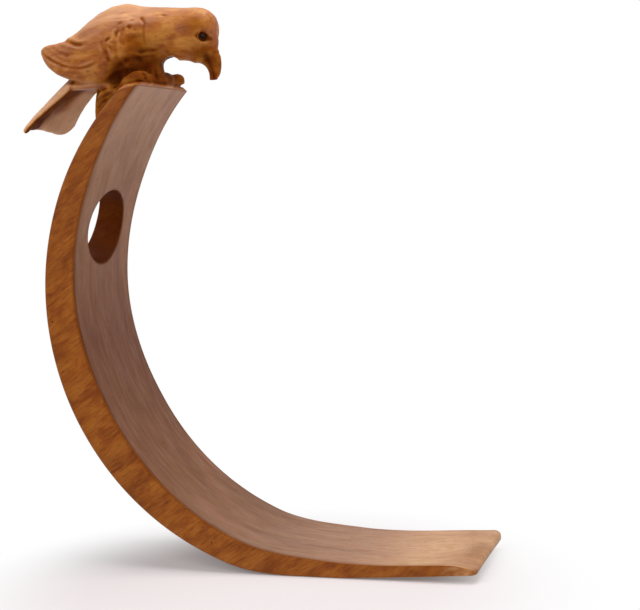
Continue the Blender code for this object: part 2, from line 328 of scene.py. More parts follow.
def roundedEnd(rows, radius, steps):
    # the last row is eased into the end face and closed on its middle line
    (outer, inner), (outerBefore, innerBefore) = rows[-1], rows[-4]
    across = (inner - outer).normalized()
    reach = min(radius, (inner - outer).length * 0.45)
    kept = [row for row in rows if (row[0] - outer).length > reach and (row[1] - inner).length > reach]
    outerStart = outer + (outerBefore - outer).normalized() * reach
    innerStart = inner + (innerBefore - inner).normalized() * reach
    outerCurve = [outerStart] + bentFrom(outerStart, outer, outer + across * reach, steps)
    innerCurve = [innerStart] + bentFrom(innerStart, inner, inner - across * reach, steps)
    middle = (outer + inner) / 2
    return kept + list(zip(outerCurve, innerCurve)) + [(middle, middle)]


def sectionPoints():
    # the board's outline across its length: x from side to side, y from 0 at the outer face to 1 at the inner
    half, ease = board["halfWidth"], board["edgeEase"]
    rise = ease / board["nominalWall"]
    corner = [radians(a) for a in (0, 22.5, 45, 67.5, 90)]
    close = half - ease - np.array(board["waxAndShadeCuts"])
    face = np.linspace(-close[-1], close[-1], board["acrossCuts"] + 1)[1:-1]
    face = np.concatenate([-close, face, close[::-1]])
    right = [(half - ease + ease * sin(a), rise - rise * cos(a)) for a in corner]
    right += [(half, y) for y in (0.25, 0.42, 0.58, 0.75)]
    right += [(half - ease + ease * cos(a), 1 - rise + rise * sin(a)) for a in corner]
    left = [(-x, y) for x, y in right[::-1]]
    return [(x, 0.0) for x in face] + right + [(x, 1.0) for x in face[::-1]] + left


def bentBoardTree():
    # sweeps the section through the rows of the path
    tree = bpy.data.node_groups.new("bentBoard", "GeometryNodeTree")
    for name, direction, kind in (
        ("Path", "INPUT", "NodeSocketGeometry"),
        ("Section", "INPUT", "NodeSocketObject"),
        ("Seam", "INPUT", "NodeSocketFloat"),
        ("Wood", "INPUT", "NodeSocketMaterial"),
        ("Board", "OUTPUT", "NodeSocketGeometry"),
    ):
        tree.interface.new_socket(name, in_out=direction, socket_type=kind)
    add = partial(addNode, tree)
    given = add("NodeGroupInput").outputs
    section = add("GeometryNodeObjectInfo", {"Object": given["Section"]}).outputs["Geometry"]
    rowCount = add("GeometryNodeAttributeDomainSize", {"Geometry": given["Path"]})
    cornerCount = add("GeometryNodeAttributeDomainSize", {"Geometry": section})
    closing = add("ShaderNodeMath", {0: cornerCount, 1: 1.0}, operation="ADD")
    sheet = add("GeometryNodeMeshGrid", {"Vertices X": rowCount, "Vertices Y": closing})
    index = add("GeometryNodeInputIndex")
    ratio = add("ShaderNodeMath", {0: index, 1: closing}, operation="DIVIDE")
    row = add("ShaderNodeMath", {0: ratio}, operation="FLOOR")
    place = add("ShaderNodeMath", {0: index, 1: closing}, operation="MODULO")
    corner = add("ShaderNodeMath", {0: place, 1: cornerCount}, operation="MODULO")
    position = add("GeometryNodeInputPosition")
    inner = add("GeometryNodeInputNamedAttribute", {"Name": "inner"}, data_type="FLOAT_VECTOR")
    samples = ((given["Path"], position, row), (given["Path"], inner, row), (section, position, corner))
    outerAt, innerAt, cornerAt = (
        add(
            "GeometryNodeSampleIndex",
            {"Geometry": source, "Value": value, "Index": at},
            data_type="FLOAT_VECTOR",
            domain="POINT",
        )
        for source, value, at in samples
    )
    parts = add("ShaderNodeSeparateXYZ", {0: cornerAt}).outputs
    through = add("ShaderNodeMix", {"Factor": parts["Y"], "A": outerAt, "B": innerAt}, data_type="VECTOR")
    across = add("ShaderNodeCombineXYZ", {"Y": parts["X"]})
    placed = add("ShaderNodeVectorMath", {0: through, 1: across}, operation="ADD")
    swept = add("GeometryNodeSetPosition", {"Geometry": sheet, "Position": placed})
    closed = add("GeometryNodeMergeByDistance", {"Geometry": swept, "Distance": given["Seam"]})
    real = add("GeometryNodeRealizeInstances", {"Geometry": closed})
    coloured = add("GeometryNodeSetMaterial", {"Geometry": real, "Material": given["Wood"]})
    add("NodeGroupOutput", {"Board": coloured})
    return tree


def setModifier(modifier, name, value):
    # a modifier's input is known by its socket's identifier
    for socket in modifier.node_group.interface.items_tree:
        if socket.name == name and socket.in_out == "INPUT":
            modifier[socket.identifier] = value


def neckHoleCutter():
    # a plug whose ends flare with the curved faces, so that the rim is eased evenly
    axis = radial(board["holeAngle"])
    along = Vector((-axis.z, 0.0, axis.x))
    ease, wall, turns = board["holeEase"], wallAt(board["holeAngle"]), board["holeTurns"]
    # how far beyond a face, and how much wider than the hole in shares of the ease
    rim = ((wall, 5), (ease, 1.6), (0.0, 1), (-ease * 0.55, 0.3), (-ease * 1.3, 0))
    rings = [(0, depth, flare) for depth, flare in rim] + [(1, -depth, flare) for depth, flare in rim[::-1]]
    points, faces = [], []
    for face, depth, flare in rings:
        for turn in range(turns):
            angle = 2 * pi * turn / turns
            size = board["holeDiameter"] / 2 + ease * flare
            u, v = size * cos(angle), size * sin(angle)
            tilt = board["holeAngle"] + degrees(atan2(u, board["bowRadius"] - face * wall))
            surface = board["bowRadius"] - (wallAt(tilt) if face else 0.0)
            out = axis * (sqrt(surface**2 - u**2) + depth)
            points.append(bowCentre + out + along * u + Vector((0.0, v, 0.0)))
    for first in range(0, len(points) - turns, turns):
        for turn in range(turns):
            a, b = first + turn, first + (turn + 1) % turns
            faces.append((a, b, b + turns, a + turns))
    faces += [tuple(range(turns))[::-1], tuple(range(len(points) - turns, len(points)))]
    return cleaned(newMesh("neckHoleCutter", points, faces))


def shapeToe(points):
    # seen from above the toe is cut a little askew, its corners are rounded, and the near one is pared down
    half, end = board["halfWidth"], bowCentre.x + board["footReach"]
    x, y, z = points.T  # views, so the points move with them
    shift = board["toeSkew"] * (0.5 - y / (2 * half))
    for side, corner in ((1, board["farCorner"]), (-1, board["nearCorner"])):
        into = np.clip(side * y - (half - corner), 0.0, corner)
        shift += corner - np.sqrt(np.maximum(corner**2 - into**2, 0.0))
    x -= shift * ramp(x, end - board["toeSkewFrom"], end)
    along, across = board["nearSlopeAlong"], board["nearSlopeAcross"]
    near = ramp(y, across[0] - half, across[1] - half) * board["nearSlope"]
    pared = ramp(x, end - along[0], end - along[1]) * near
    floor = board["toeLift"] * ramp(x, bowCentre.x + board["soleFront"], end)
    z -= np.maximum(z - floor, 0.0) * pared
    return points


def boardWaxShadeAndWear(points, normals):
    # wax and painted shade darken the inner face's edges, painted shade darkens the neck hole, and the toe's
    # near side is rubbed pale
    half = board["halfWidth"]
    x, y, z = points.T
    inward = np.array(bowCentre) - points
    inward[:, 1] = 0.0
    inward /= np.linalg.norm(inward, axis=1)[:, None]
    facing = dots(normals, inward)
    side = half - board["edgeEase"] - np.abs(y)
    patchy = 0.75 + 0.25 * noiseAt(points, board["waxAndShadeCell"], 4.0)
    # the inner face's edges and eased corners are darkened, partly for wax and partly as painted shade where
    # the edge turns from the light
    edge = np.exp(-((np.maximum(side, 0.0) / board["edgeWaxReach"]) ** 2))
    wax = board["edgeWax"] * edge * ramp(facing, *board["innerFace"]) * patchy
    # the neck hole's wall is painted dark, for the shade inside it
    axis = np.array(radial(board["holeAngle"]))
    away = points - np.array(bowCentre)
    away -= (away @ axis)[:, None] * axis
    fromHole = np.linalg.norm(away, axis=1) - board["holeDiameter"] / 2
    bored = ramp(fromHole, *board["holeShadeAway"]) * (x < bowCentre.x - 0.05)
    wax = np.maximum(wax, board["holeShade"] * bored)
    rim = ramp(facing, *board["rimFacing"]) * ramp(side, *board["rimSide"])
    wax = np.maximum(wax, board["rimWaxAndShade"] * rim * patchy)
    fromToe = bowCentre.x + board["footReach"] - x
    onFoot = z < board["footBelow"]
    bare = ramp(fromToe, board["toeWearReach"], board["toeWearReach"] / 2)
    bare *= ramp(y, *(reach - half for reach in board["toeWearSide"]))
    grain = np.clip(0.6 + 0.9 * noiseAt(points, board["toeWearCell"], 9.0), 0.0, 1.0)
    wax -= board["toeWear"] * bare * onFoot * grain
    for back, middle, reachX, reachY, amount in board["toeStains"]:
        away = ((fromToe - back) / reachX) ** 2 + ((y - middle) / reachY) ** 2
        wax = wax + (1 - wax) * amount * np.exp(-away) * onFoot
    return wax


def makeBoard(wood):
    rows = roundedEnd(boardRows(), board["toeRound"], board["endRows"])
    rows = roundedEnd(rows[::-1], board["crestRound"], board["endRows"])
    path = newObject("bowPath", newMesh("bowPath", [outer for outer, _ in rows], []))
    inner = path.data.attributes.new("inner", "FLOAT_VECTOR", "POINT")
    inner.data.foreach_set("vector", [c for _, point in rows for c in point])
    outline = [(x, y, 0.0) for x, y in sectionPoints()]
    section = newObject("boardSection", newMesh("boardSection", outline, []))
    bend = path.modifiers.new("bentBoard", "NODES")
    bend.node_group = bentBoardTree()
    for name, value in (("Section", section), ("Seam", 1e-6), ("Wood", wood)):
        setModifier(bend, name, value)
    blank = newObject("boardBlank", cleaned(evaluatedMesh(path, "boardBlank")))
    plug = newObject("neckHolePlug", neckHoleCutter())
    cutAway(blank, plug, "EXACT")
    mesh = cleaned(evaluatedMesh(blank, "curvedStand"))
    for helper in (path, section, blank, plug):
        bpy.data.objects.remove(helper, do_unlink=True)
    points = shapeToe(coordinates(mesh))
    clear = ramp(points[:, 2], 0.002, 0.012)[:, None]  # the sole stays flat
    inward = vertexNormals(mesh) * (noiseAt(points, board["unevenCell"], 1.0) - 1.0)[:, None]
    points = np.clip(points + inward * clear * board["unevenness"] / 2, cadBox[0], cadBox[1])
    setCoordinates(mesh, points)
    item = finishedPiece("curvedStand", mesh, wood, boardWaxShadeAndWear(points, vertexNormals(mesh)))
    mesh.set_sharp_from_angle(angle=radians(board["creaseAngle"]))
    return item


# The bird: one carving, worked with a knife and waxed. Lengths here are in mm from the crest's inner corner.

bird = {
    "voxel": 0.52,  # grid that the forms are joined on
    "rubs": 5,  # passes of rubbing down the joined forms
    "rubStrength": 0.5,
    "seatGap": 0.06,  # a glue line
    "backHighlight": 0.46,  # a painted highlight on the top of the back, where faces look up: how strong, and where
    "backFacing": (0.15, 0.75),
    "backAlong": (12.0, -14.0),
    "backHeight": (18.0, 28.0),
    "perchAngle": 127.8,
    "perchWall": 0.0055,
    "farSideShift": (0.7, -0.4),  # hand carving never repeats itself exactly
    "knifeMarks": ((9.0, 0.20), (3.4, 0.09), (1.6, 0.035)),  # size and depth of what the knife leaves
    # narrow hollows and wide ones, darkened for the wax that settles in them and as painted shade: how dark,
    # the passes of rubbing down that fill them, and how much is filled where it starts and where it is full
    "hollowWaxAndShade": ((0.75, 14, (0.04, 0.26)), (0.70, 150, (0.20, 1.2))),
    "edgeWornAndLit": 0.30,  # how pale sharp edges are painted, partly for wear and partly as painted highlight, and how much of them a few passes take off
    "edgeTaken": (0.03, 0.18),
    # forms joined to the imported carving: centre, half sizes, and degrees turned about Y
    "lumps": (
        ((-24.5, -9.5, -3.5), (7, 7, 8.5), 12),  # thighs over the back of the crest
        ((-24.5, 9.5, -3.5), (7, 7, 8.5), 12),
        ((-6.5, -9, 4.6), (6.5, 5, 3.4), -4),  # instep of the near foot
        ((-2, -5.5, 6), (4.6, 6, 8.5), 8),  # shin
        ((-5, 13, 5), (7.4, 5.6, 3.6), -6),  # knuckles of the far foot
        ((0.9, 13.4, 4.9), (4.9, 5.8, 3.9), 4),
        ((0.5, 2, 3.5), (3.4, 12, 4.6), 0),  # wood left between the feet
        ((-34, -14, 3.6), (14.2, 5, 2.7), -5),  # ridge under the wing, from the tail's lip to the thigh
        ((-34, 14, 3.6), (14.2, 5, 2.7), -5),
        ((12.5, 0, 16.6), (7.5, 5.5, 4.2), 0),  # throat
        ((27.1, 0, 22.4), (3.7, 4.6, 7.4), 0),  # bridge from the forehead to the beak
        ((25.2, 0, 11.6), (3.4, 2.2, 4.4), 0),  # root and blunt end of the beak
        ((27.9, 0, 7), (2.9, 2, 6.5), 8),
        ((27.3, 0, 3.4), (2.3, 1.9, 3.4), 0),
    ),
    # hollows cut through it from side to side: middle and half sizes in x and z
    "hollows": (
        ((5, 11.5), (4.7, 4.1)),  # between throat and feet
        ((10.6, 10.5), (7, 2.9)),
        ((19.4, 3.6), (5.8, 8)),  # under the chin
    ),
    "hollowLean": 0.385,  # how far in x they drift for each mm in y
    "beakEnd": 2.5,  # the beak is cut off square at this height
    "beakFrom": 18.0,
    # the strip of wood left along the crest: points under and over it, and how full it is along Y
    "strip": (
        ((0.0, -0.6), (2.3, 1.9)), ((-3.6, -1.4), (-2.6, 1.8)),
        ((-7.6, -2.2), (-7.0, 0.7)), ((-11.0, -3.0), (-10.8, -1.7)),
    ),
    "stripRun": (
        (-32.3, 1.0), (-20.0, 1.0), (-8.0, 1.05), (5.0, 1.05),
        (16.0, 1.1), (23.0, 1.05), (27.5, 0.75), (31.5, 0.25),
    ),
    # knife cuts on both sides: depth, half width, ridge beside them, how dark wax and painted shade lie in
    # them, least distance from the middle, and x and z of each point in turn
    "cuts": (
        (0.6, 0.62, 0.1, 0.66, 9, -55.6, 19.6, -54.3, 18.3, -51.2, 16.2, -47.3, 14.1, -43.3, 12.3, -39.4,
         11.3, -34.7, 10.7, -31.7, 11.3, -28.9, 12, -26.2, 13.2),
        (0.22, 0.7, 0.06, 0.18, 9, -51.5, 24, -49.7, 22.5, -48.2, 20.9, -45.6, 19.1, -42.3, 17.8, -37.9,
         17.5, -34.3, 17.3, -30.9, 17.7),
        (0.75, 0.85, 0.28, 0.5, 6, -45.8, 25.6, -42.8, 24.9, -39.9, 24.1, -36.6, 22.8, -33.9, 22.3, -31.6,
         22.9),
        (0.15, 0.9, 0, 0.06, 9, -52, 21.4, -48.6, 18, -44, 15.4, -38.6, 14.2, -33.6, 14.2),
        (0.35, 0.6, 0, 0.45, 9, -43.4, 17.6, -42, 17.2, -40.6, 17.3),
        # the crease under the wing's lower edge, darkened for the shadow under it as well as for wax
        (0.9, 0.9, 0.15, 0.7, 7, -47, 5.2, -43.7, 4.7, -38.1, 2.9, -31.9, 2.6, -26.5, 3.2, -21.8, 4.4,
         -18.4, 6.1),
        # the deep hollow between wing and thigh, painted black for the shade in it as well as for wax
        (3.4, 3, 0, 1, 8, -21.5, -1, -18.6, 3.4, -16.2, 8.2, -12.6, 12),
        (1.6, 1.7, 0, 0.9, 7, -12.6, 12, -8.6, 14, -4.6, 13.2),
        (1.5, 4.2, 0, 0.4, 8, -7.4, 27, -6.6, 22, -6, 16.5),  # soft dip behind the shoulder, darkened as painted shade
        (0.45, 0.75, 0, 0.6, 8, -1.8, 31, -2.1, 28.6, -2.2, 25, -2, 20),
        (0.6, 0.7, 0.1, 0.85, 8, -4, 34.4, -3.4, 33.2, -2.5, 32.2),
        (0.9, 0.8, 0.15, 1, 8, -5.8, 16.6, -3.2, 17.4, -0.4, 18.1, 1.8, 18),
        (0.5, 0.8, 0.05, 0.6, 8, -5.8, 13.7, -2.2, 15, 0.6, 15.7),
        (0.6, 0.62, 0.15, 0.85, 8, -9.8, 29.4, -8.9, 30.2, -8.2, 30, -8.8, 28.6),
        (0.8, 0.66, 0.2, 1, 8, -13.7, 28.3, -15.2, 27.1, -15.3, 26, -14.7, 25),
        (0.7, 0.64, 0.15, 0.9, 8, -18.3, 24.6, -19.4, 24.2, -20.5, 23.3),
        (0.35, 0.7, 0.1, 0.45, 8, -12.9, 23, -12.2, 21.8, -11.5, 21.2, -11.7, 23.4),
        (0.55, 0.6, 0.1, 0.8, 8, -19.2, 20.8, -18.4, 20.2, -17.5, 18.6),
        (0.6, 0.6, 0.1, 0.85, 8, -20.2, 15.5, -19.9, 14.4, -19.3, 13.3),
        (0.3, 0.55, 0.05, 0.4, 8, -15.2, 15.8, -14.9, 14.4, -14.3, 12.8),
        (0.5, 1.2, 0.15, 0.24, 8, -20.8, 23.2, -21, 18.3, -19.2, 12.4),  # soft folds below the chips
        (0.5, 1.2, 0.15, 0.24, 8, -16.2, 24, -16.3, 18, -14.6, 12.4),
        (0.4, 0.5, 0.05, 0.25, 6, 2.6, 35.2, 5.4, 35.3, 8.3, 34.8),
        (0.22, 0.45, 0.05, 0.2, 6, -17.2, 34, -13, 34.5, -10.4, 34.2),
        (0.18, 0.45, 0.05, 0.18, 5, -16.4, 37, -12.8, 37.6, -9.6, 37.3),
        (0.1, 0.75, 0.05, 0.06, 5, 7.2, 25.9, 9, 27.6, 12.2, 27.2, 14.2, 25.2, 13.2, 23.2, 10, 23, 7.6,
         24.2, 7.2, 25.9),
        (0.7, 0.7, 0.1, 0.7, 5, -33.9, -1.2, -29, -0.3, -23, 0.9),
        (0.8, 0.7, 0.1, 0.7, 5, -33.2, -4.8, -26.4, -3.4, -19.6, -2),
        (0.7, 0.7, 0.1, 0.7, 5, -32, -8.6, -27.6, -6.4, -23.4, -4.6),
        (0.6, 0.7, 0.1, 0.6, 5, -30.4, -12.6, -27.4, -10.2, -24.6, -8.4),
        (1.5, 0.95, 0, 1, 7, -2.8, 8.8, -1.8, 5.8, -1.2, 3),  # between the claws
        (1.4, 0.85, 0, 1, 7, 0.4, 8.6, 1, 5.6, 1.4, 3.2),
        # the crease under the near foot, painted dark for the toes' shadow on the strip as well
        (0.7, 0.95, 0, 1, 3, -5.2, 1.6, -1, 1.8, 2.4, 1.9, 6, 2.1),
        (0.7, 1.3, 0, 1, 0.1, 24.9, 14.6, 25.5, 12.4, 26, 10.6),  # corner of the mouth
        # mouth
        (1.2, 1.1, 0, 1, 0.1, 25.8, 15.8, 26.2, 14, 26.6, 11.8, 27.1, 9.4, 27.6, 6.8, 28.1, 4.2, 28.2, 1),
        (0.4, 0.5, 0.05, 0.55, 0.8, 32.2, 15.6, 30.6, 16.2, 29, 15.4),
    ),
    # short chips: x and z of the middle, degrees up from level, length, depth
    "chips": (
        (-2, 31.2, 130, 0.7, 0.4), (-22.8, 22.7, 60, 0.8, 0.4), (-18.2, 22.6, 20, 0.6, 0.3),
        (-12, 26.4, 150, 0.6, 0.2), (-15.9, 14.8, 122, 1, 0.4), (-13, 23.6, 96, 1.6, 0.3),
        (-19, 24.2, 140, 0.9, 0.35), (-11.6, 28.4, 75, 0.7, 0.3), (-31.2, 8.9, 20, 0.9, 0.3),
        (-27.2, 7.8, 150, 0.8, 0.3), (-24.6, 10.4, 40, 0.7, 0.25), (-36.6, 6.6, 160, 1, 0.25),
        (-33.8, 14, 170, 0.9, 0.2), (-13.4, 31.6, 30, 1, 0.3), (-8.2, 33, 10, 0.8, 0.3),
        (-22.6, 21, 100, 0.8, 0.25), (-26.8, 16.2, 70, 0.7, 0.2), (-39, 9, 30, 0.8, 0.2),
    ),
    "chipWidth": 0.42,
    "cutStart": 0.35,  # share of its depth that a cut has at its ends, and how fast it deepens
    "cutRise": 4.5,
    "cutWaver": 0.2,
    # soft dark patches, partly wax never rubbed off and partly painted shade on the chest, the beak, under
    # the wing and below the toes: x, z, reach in x and z, and how dark
    "stainsAndShade": (
        (-5, 18, 8, 7, 0.45), (-4, 10.6, 11, 5, 0.6), (28.4, 7, 5.4, 9, 0.62), (23, 30, 7, 4.5, 0.45),
        (-16.8, 5.6, 4.4, 7, 0.75), (-26, -7, 7, 8.5, 0.68), (25.6, 22.4, 5.2, 4.2, 0.16),
        (5, 4.6, 6, 3.4, 0.52), (-8.4, 4.4, 8.2, 4.8, 0.57), (24, 15, 5.6, 4.6, 0.46),
        (1.5, 10.5, 4.5, 7, 0.46), (27.5, 12.5, 3.8, 4, 0.76), (0.5, 2.2, 7, 1.2, 0.6),
    ),
    # places cleared of wax and painted shade and painted pale, for wear and for light caught under the wing:
    # x, z, reach in x and z, and how bare
    "bareAndLit": ((-33.0, 2.7, 11.0, 1.6, 0.85), (6.0, 0.0, 5.5, 1.3, 0.70)),
}
bird["eye"] = {
    "place": (25.9, 23.1),
    "halfLength": 3.2,
    "halfHeight": 2.0,
    "tilt": -14.0,  # degrees: the front corner sits lower
    "depth": 0.45,
    "lid": 0.12,
    "wax": 0.85,
    "beadSize": 0.55,  # the bead that shows, as a share of the one it stands for
    "beadHeight": 0.36,
}
# Two numbers hold for the root and the tip, or say where something starts and where it is full. Along runs
# from 0 at the root to 1 at the tip, across from -1 at the near edge to 1 at the far one, and off is mm from
# the middle.
bird["tail"] = {
    "root": (-38.0, 5.0),
    "tip": (-70.0, -19.5),
    "middle": (0.6, -1.9),  # y of its middle line
    "halfWidth": (12.5, 24.0),
    "fanAlong": (-0.15, 0.12),
    "thickness": (12.0, 7.0),  # off it, so that nothing else of the bird is changed
    "upperSide": (-0.2, 0.4),  # how far a face looks up
    "underside": (0.1, -0.3),
    "farEdge": (0.8, 0.4),  # how far a face looks sideways
    "scoop": 5.4,  # how far the underside is hollowed behind its near edge
    "scoopAlong": (0.10, 0.45),
    "scoopNear": (-0.96, -0.66),
    "scoopFar": (-0.35, 0.90),
    "farFlatter": 0.90,  # how much flatter it is there, and at the tip
    "scoopTip": (0.74, 1.0),
    "tipFlatter": 0.6,
    "swell": 0.30,  # share of it that the upper side follows
    "cornerShare": 0.42,  # the far corner, rounded in plan
    "cornerReach": 6.0,
    "cornerAlong": (0.55, 1.0),
    "lipBelow": (2.0, -1.8),  # painted shade lies below this height on its near edge
    "lipShade": 0.86,
    "lipAlong": (0.06, 0.28),
    "shadeAcross": (0.15, -0.40),  # how far across it comes, at these places along
    "shadeAlong": (0.55, 1.05),
    "edgeRubAndLight": 0.65,  # and above it that edge is painted pale, partly rubbed and partly painted light
    "edgeAcross": (-0.90, -1.0),
    "edgeEnd": (-1.28, -1.14),
    "edgeOff": (6.0, 4.6),
    "underLight": 0.95,  # the rest of the underside is painted light, for light thrown up from the floor and its sheen
    "underAlong": (0.05, 0.30),
    "barbs": 6,  # feather lines on the upper side, fainter below
    "barbDepth": 0.32,
    "barbWax": 0.35,
    "barbAcross": (0.95, 0.80),
    "barbShare": (0.17, 1.0),
}
perch = bowCentre + radial(bird["perchAngle"]) * (board["bowRadius"] - bird["perchWall"])


def crestStrip(cage):
    # a low strip of the same wood along the crest, from the near side to just short of the far one
    rings = []
    for y, full in bird["stripRun"]:
        pairs = [[Vector((x, y, z)) for x, z in pair] for pair in bird["strip"]]
        outline = [low for low, _ in pairs] + [low.lerp(high, full) for low, high in pairs[::-1]]
        rings.append([cage.verts.new(point) for point in outline])
    for ring, after in zip(rings, rings[1:]):
        for spot in range(len(ring)):
            turn = (spot + 1) % len(ring)
            cage.faces.new((ring[spot], ring[turn], after[turn], after[spot]))
    cage.faces.new(rings[0][::-1])
    cage.faces.new(rings[-1])


def hollowCutter(centre, half):
    # an upright oval plug, longer than the bird is wide
    turns, points = 40, []
    for side in (-30.0, 30.0):
        for turn in range(turns):
            angle = 2 * pi * turn / turns
            x = centre[0] - bird["hollowLean"] * side + half[0] * cos(angle)
            points.append((x, side, centre[1] + half[1] * sin(angle)))
    faces = [(turn, (turn + 1) % turns, (turn + 1) % turns + turns, turn + turns) for turn in range(turns)]
    faces += [tuple(range(turns)), tuple(range(turns, 2 * turns))]
    return cleaned(newMesh("hollow", points, faces))


def blockedOutBird():
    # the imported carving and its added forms, joined in one skin and rubbed down
    packed = cleaned(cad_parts["bird_carving"].data.copy(), 1e-6)
    cage = bmesh.new()
    cage.from_mesh(packed)
    for vertex in cage.verts:
        vertex.co = (vertex.co - perch) * 1000
    for centre, half, tilt in bird["lumps"]:
        place = Matrix.Translation(centre) @ Matrix.Rotation(radians(tilt), 4, "Y")
        place = place @ Matrix.Diagonal((*half, 1.0))
        bmesh.ops.create_icosphere(cage, subdivisions=3, radius=1.0, matrix=place)
    crestStrip(cage)
    bmesh.ops.recalc_face_normals(cage, faces=cage.faces)
    blockMesh = bpy.data.meshes.new("birdBlock")
    cage.to_mesh(blockMesh)
    cage.free()
    block = newObject("birdBlock", blockMesh)
    cutters = [newObject("hollow", hollowCutter(*hollow)) for hollow in bird["hollows"]]
    for step in ("joined", *cutters, "evened"):
        if isinstance(step, str):
            skin = block.modifiers.new(step, "REMESH")
            skin.mode, skin.voxel_size, skin.adaptivity = "VOXEL", bird["voxel"], 0.0
        else:
            cutAway(block, step, "MANIFOLD")
    rub = block.modifiers.new("rub", "SMOOTH")
    rub.factor, rub.iterations = bird["rubStrength"], bird["rubs"]
    mesh = evaluatedMesh(block, "birdCarving")
    for helper in (block, *cutters):
        bpy.data.objects.remove(helper, do_unlink=True)
    return mesh


def strokeDistance(flat, stroke):
    # distance to a stroke, signed by its side, and how far along it the nearest place is
    stroke = np.reshape(stroke, (-1, 2)).astype(float)
    nearest = np.full(len(flat), 1e9)
    signed, along = np.zeros((2, len(flat)))
    lengths = np.linalg.norm(np.diff(stroke, axis=0), axis=1)
    starts = np.concatenate([[0.0], np.cumsum(lengths)])
    for index, (a, b) in enumerate(zip(stroke, stroke[1:])):
        run = b - a
        t = np.clip(((flat - a) @ run) / (run @ run), 0.0, 1.0)
        away = flat - a - t[:, None] * run
        distance = np.linalg.norm(away, axis=1)
        closer = distance < nearest
        side = np.sign(run[0] * away[:, 1] - run[1] * away[:, 0])
        nearest[closer] = distance[closer]
        signed[closer] = (distance * side)[closer]
        along[closer] = (starts[index] + t * lengths[index])[closer] / starts[-1]
    return signed, along


def rubbed(edges, values, passes):
    # each value drawn to the mean of its neighbours
    ends = edges.T
    count = np.bincount(edges.ravel(), minlength=len(values)).astype(float)
    flat = values if values.ndim == 2 else values[:, None]
    for _ in range(passes):
        sums = [
            sum(np.bincount(a, column[b], len(values)) for a, b in (ends, ends[::-1]))
            for column in flat.T
        ]
        flat = 0.5 * flat + 0.5 * np.stack(sums, axis=1) / count[:, None]
    return flat if values.ndim == 2 else flat[:, 0]


def scoopTail(points, normals):
    # the underside of the fan is hollowed behind its near edge, and the upper side swells with it a little
    tail = bird["tail"]
    root, tip = np.array(tail["root"]), np.array(tail["tip"])
    run = tip - root
    length = np.linalg.norm(run)
    flat = points[:, [0, 2]] - root
    along, off = (flat @ run) / length**2, flat @ np.array([run[1], -run[0]]) / length
    inLength = np.clip(along, 0, 1)
    across = (points[:, 1] - between(tail["middle"], inLength)) / between(tail["halfWidth"], inLength)
    thin = ramp(np.abs(off), *tail["thickness"])
    inTail = ramp(along, *tail["scoopAlong"]) * thin
    hollow = ramp(across, *tail["scoopNear"]) * (1 - tail["farFlatter"] * ramp(across, *tail["scoopFar"]))
    hollow *= 1 - tail["tipFlatter"] * ramp(along, *tail["scoopTip"])
    above = ramp(normals[:, 2], *tail["upperSide"])
    lift = tail["scoop"] * hollow * inTail * (1 - (1 - tail["swell"]) * above)
    into = np.clip(across - (1 - tail["cornerShare"]), 0, tail["cornerShare"]) / tail["cornerShare"]
    back = tail["cornerReach"] * (1 - np.sqrt(1 - np.minimum(into, 0.98) ** 2))
    back *= ramp(along, *tail["cornerAlong"])
    barb = np.sin(across * pi * tail["barbs"] + along * 0.8)
    groove = np.clip(barb - 0.70, 0, 1) / 0.30 * inTail * ramp(np.abs(across), *tail["barbAcross"])
    groove *= between(tail["barbShare"], above)
    inFan = ramp(along, *tail["fanAlong"]) * thin
    under = inFan * ramp(normals[:, 2], *tail["underside"]) * ramp(normals[:, 1], *tail["farEdge"])
    # the hollow behind the near edge is painted dark, for the shade in it
    reach = between(tail["shadeAcross"], ramp(along, *tail["shadeAlong"]))
    below = between(tail["lipBelow"], along) - off
    wax = tail["lipShade"] * inFan * ramp(below, -0.5, 0.5) * ramp(across, reach + 0.20, reach - 0.20)
    wax *= ramp(along, *tail["lipAlong"])
    # the underside and the top of the near edge are painted pale, as painted light
    pale = tail["underLight"] * under * ramp(across, reach - 0.10, reach + 0.30)
    pale *= ramp(along, *tail["underAlong"])
    edge = inFan * ramp(across, *tail["edgeAcross"]) * ramp(across, *tail["edgeEnd"])
    edge *= ramp(below, 0.4, -0.4) * ramp(off, *tail["edgeOff"])
    pale = np.maximum(pale, tail["edgeRubAndLight"] * edge)
    up, out = np.array([0.0, 0.0, 1.0]), np.array([run[0], 0.0, run[1]]) / length
    return points + up * lift[:, None] - out * back[:, None], groove, wax - pale


